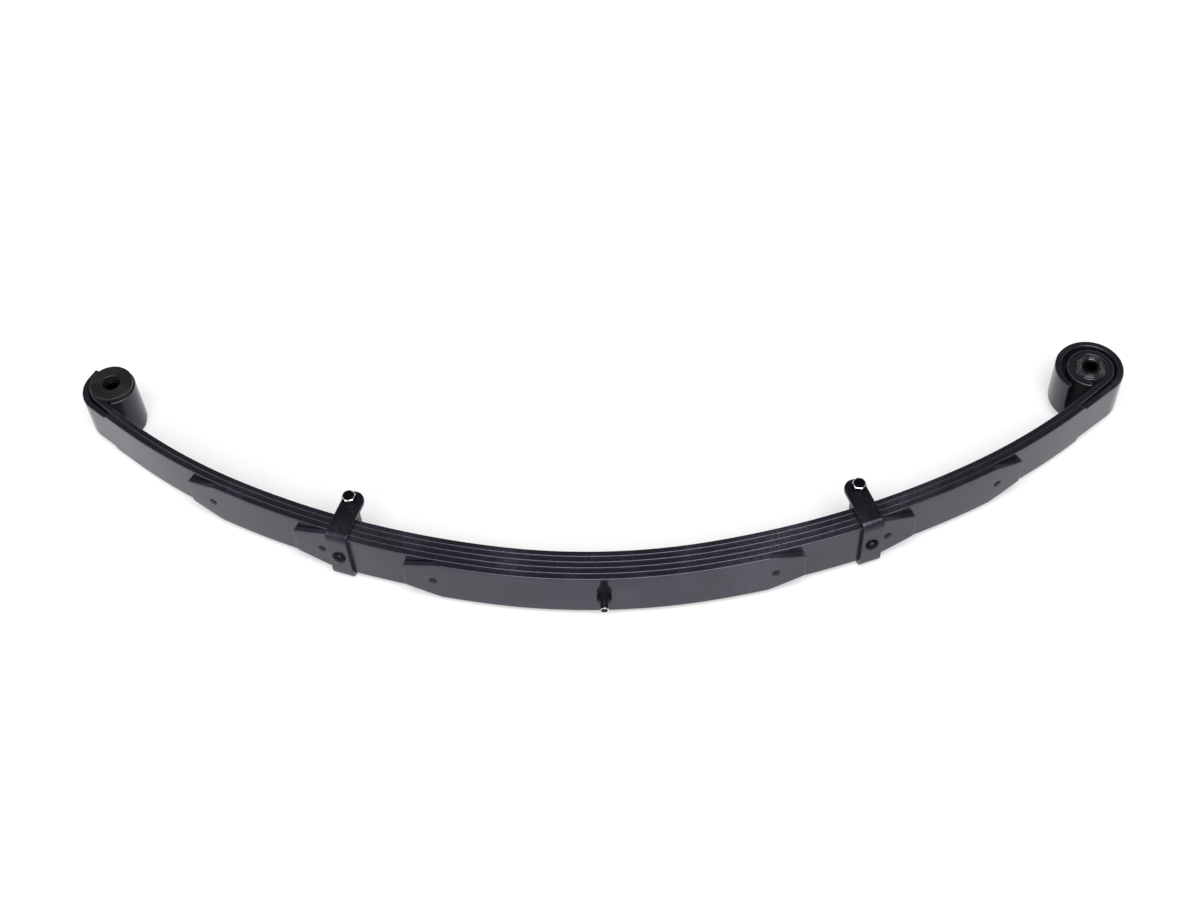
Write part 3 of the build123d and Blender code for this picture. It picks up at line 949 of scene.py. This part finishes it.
def add_rivet(side):
    base, inward, _, _ = clip_frame(side)
    rivet = (
        (0, -1 * mm), (4 * mm, -1 * mm), (4 * mm, 5 * mm), (8 * mm, 5 * mm), (7.9 * mm, 6.1 * mm),
        (6.9 * mm, 8.0 * mm), (5.1 * mm, 9.4 * mm), (2.6 * mm, 10.1 * mm), (0, 10.2 * mm),
    )
    hand = hands[side]
    turned(
        f"{hand}_clip_rivet_dome", base, -inward, rivet, 0.5 * mm, fastener_paint, "fastener_paint",
        f"{hand}_clip_rivet", f"{hand}_arm", segments=64, reference=(0, 0, 1), wobble=0.12 * mm,
        seed=3.0 * side,
    )


def add_clip_bolt(side):
    """Hexagon bolt down through both ears of the strap, with a bare rim round its head."""
    _, _, along, axis_point = clip_frame(side)
    head_origin = axis_point + up * strap_outer
    head = hexagon(head_origin, up, along, clip_head_height, hex_flat, 1.1 * mm, 0.0, crown=0.12 * mm)
    shank_end = -2 * strap_outer
    shank = (
        (0, shank_end),
        (clip_shank_radius - 0.5 * mm, shank_end),
        (clip_shank_radius, shank_end + 0.5 * mm),
        (clip_shank_radius, 0.2 * mm),
        (0, 0.2 * mm),
    )
    rod = lathe(head_origin, up, shank, closed=False, segments=48)
    hand = hands[side]
    bolt = add_piece(
        f"{hand}_clip_bolt_hex", *joined(head, rod), fastener_paint, "fastener_paint",
        f"{hand}_clip_bolt", f"{hand}_arm", sharp=28,
    )
    bolt.data.materials.append(bolt_rim)
    for face in bolt.data.polygons:
        centre = Vector(face.center) - head_origin
        out = Vector((centre.x, centre.y)).length
        rim = 0.95 * clip_head_height < centre.z and 0.89 * hex_flat < out < 0.97 * hex_flat
        corner = centre.z > 0.75 * clip_head_height and 0.55 < face.normal.z < 0.97
        if rim or corner:
            face.material_index = 1


def tube_section(inner, outer, half_length):
    """Section of a tube that is centred on its origin."""
    return ((inner, -half_length), (outer, -half_length), (outer, half_length), (inner, half_length))


def add_spacer(side):
    _, _, _, axis_point = clip_frame(side)
    tube = tube_section(spacer_bore, spacer_radius, strap_inner - 0.3 * mm)
    hand = hands[side]
    turned(
        f"{hand}_clip_spacer_tube", axis_point, up, tube, 0.5 * mm, spacer_steel, "spacer_steel",
        f"{hand}_clip_spacer", f"{hand}_spacer", closed=True, segments=64,
    )


for side in (-1, 1):
    add_strap(side)
    add_rivet(side)
    add_clip_bolt(side)
    add_spacer(side)


# Left eye: a two-piece flanged bushing on a steel sleeve

half_gap = 0.25 * mm  # from each half of the bushing to the middle of the eye
flange = (
    (sleeve_outer + running_clearance, half_gap),
    (bushing_radius, half_gap),
    (bushing_radius, flange_face),
    (flange_radius, flange_face),
    (flange_radius, flange_face + flange_thickness),
    (sleeve_outer + running_clearance, flange_face + flange_thickness),
)
for edge, end_name in ((1, "upper"), (-1, "lower")):
    turned(
        f"left_bushing_{end_name}_flange", eye_centre(-1), up * edge, flange, 1.4 * mm, bushing_plastic,
        "bushing_plastic", f"left_bushing_{end_name}_half", "left_arm", closed=True, segments=128,
    )


def add_sleeve(side, half_length, body):
    sleeve = tube_section(sleeve_bore, sleeve_outer, half_length)
    hand = hands[side]
    turned(
        f"{hand}_bushing_sleeve_tube", eye_centre(side), up, sleeve, 0.5 * mm, sleeve_steel, "sleeve_steel",
        f"{hand}_bushing_sleeve", body, closed=True, segments=96,
    )


add_sleeve(-1, flange_face + flange_thickness - sleeve_recess, "left_sleeve")
add_sleeve(1, half_width + rubber_bulge, "right_sleeve")


# Right eye: rubber bonded between a thin can and an inner sleeve

can_inner = bushing_radius - can_thickness
can = tube_section(can_inner, bushing_radius, half_width)
# the can ring takes the near-black gap material: painted shade between eye and rubber
turned(
    "right_bushing_can_ring", eye_centre(1), up, can, 0.5 * mm, gap_shade_black, "clip_paint",
    "right_bushing_can", "right_arm", closed=True, segments=128,
)
bulge = half_width + rubber_bulge
rubber_half = [
    (can_inner - 0.02 * mm, half_width - 1.2 * mm),
    (can_inner - 1.2 * mm, half_width - 1.0 * mm),
    (can_inner - 2.2 * mm, bulge - 0.2 * mm),
    (can_inner - 4.2 * mm, bulge),
    (sleeve_outer + 1.6 * mm, bulge - 0.2 * mm),
    (sleeve_outer + running_clearance, bulge - 0.9 * mm),
]
rubber = rubber_half + [(r, -z) for r, z in reversed(rubber_half)]
turned(
    "right_bushing_rubber_disc", eye_centre(1), up, rubber, 0.8 * mm, bushing_rubber, "bushing_rubber",
    "right_bushing_rubber", "right_arm", closed=True, segments=128, wobble=0.1 * mm,
)


# Stage, light and camera

def add_floor():
    """Wide white floor, which glows more further out and so fades to plain white."""
    size = 30.0
    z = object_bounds()[0].z
    mesh = bpy.data.meshes.new("floor")
    corners = [(-size, -size, z), (size, -size, z), (size, size, z), (-size, size, z)]
    mesh.from_pydata(corners, [], [(0, 1, 2, 3)])
    floor = bpy.data.objects.new("floor", mesh)
    bpy.context.scene.collection.objects.link(floor)
    s = Shader("floor_white", (0.42, 0.42, 0.42), 0.9, Specular_IOR_Level=0.0)
    s.bsdf.inputs["Emission Color"].default_value = (1, 1, 1, 1)
    away = s.tree.nodes.new("ShaderNodeVectorMath")
    away.operation = "LENGTH"
    s.tree.links.new(s.place, away.inputs[0])
    s.to("Emission Strength", s.ramp(away.outputs["Value"], 0.4, 1.3, 0.32, 1.0))
    mesh.materials.append(s.material)


def add_world():
    """Soft surroundings, pale near the horizon and dim overhead."""
    world = bpy.data.worlds.new("studio")
    world.use_nodes = True
    bpy.context.scene.world = world
    tree = world.node_tree
    place = tree.nodes.new("ShaderNodeTexCoord")
    split = tree.nodes.new("ShaderNodeSeparateXYZ")
    tree.links.new(place.outputs["Generated"], split.inputs["Vector"])
    fade = tree.nodes.new("ShaderNodeMapRange")
    fade.inputs["From Min"].default_value = 0.0
    fade.inputs["From Max"].default_value = 0.75
    fade.inputs["To Min"].default_value = 0.95
    fade.inputs["To Max"].default_value = 0.07
    tree.links.new(split.outputs["Z"], fade.inputs["Value"])
    tree.links.new(fade.outputs["Result"], tree.nodes["Background"].inputs["Strength"])
    tree.nodes["Background"].inputs["Color"].default_value = (0.97, 0.98, 1.0, 1)


def add_softbox(name, elevation, azimuth, distance, width, depth, power):
    """Rectangular light aimed at the middle of the spring; azimuth 0 is the convex side."""
    target = Vector((0, 0.1, 0))
    e, a = radians(elevation), radians(azimuth)
    toward = Vector((sin(a) * cos(e), -cos(a) * cos(e), sin(e)))
    light = bpy.data.lights.new(name, "AREA")
    light.shape = "RECTANGLE"
    light.size = width
    light.size_y = depth
    light.energy = power
    lamp = bpy.data.objects.new(name, light)
    lamp.location = target + toward * distance
    lamp.rotation_mode = "QUATERNION"
    lamp.rotation_quaternion = (-toward).to_track_quat("-Z", "Y")
    bpy.context.scene.collection.objects.link(lamp)


def add_camera():
    """Camera at the angle and distance of a product shot from above the convex side."""
    elevation, azimuth, roll = radians(53.70), radians(-2.28), radians(3.20)
    forward = Vector((sin(azimuth) * cos(elevation), cos(azimuth) * cos(elevation), -sin(elevation)))
    level = Vector((cos(azimuth), -sin(azimuth), 0))
    below = forward.cross(level)
    right = level * cos(roll) + below * sin(roll)
    below = below * cos(roll) - level * sin(roll)
    camera = bpy.data.cameras.new("camera")
    camera.sensor_width = 36
    camera.lens = 56.0
    eye = bpy.data.objects.new("camera", camera)
    turn = Matrix((right, -below, -forward)).transposed().to_4x4()
    eye.matrix_world = Matrix.Translation((0.047, -1.113, 1.734)) @ turn
    bpy.context.scene.collection.objects.link(eye)
    bpy.context.scene.camera = eye


add_floor()
add_world()
add_softbox("key_softbox", elevation=64, azimuth=8, distance=2.6, width=2.4, depth=1.9, power=140)
add_softbox("left_softbox", elevation=32, azimuth=-70, distance=2.6, width=1.2, depth=1.2, power=16)
add_camera()
bpy.context.scene.view_settings.view_transform = "Standard"
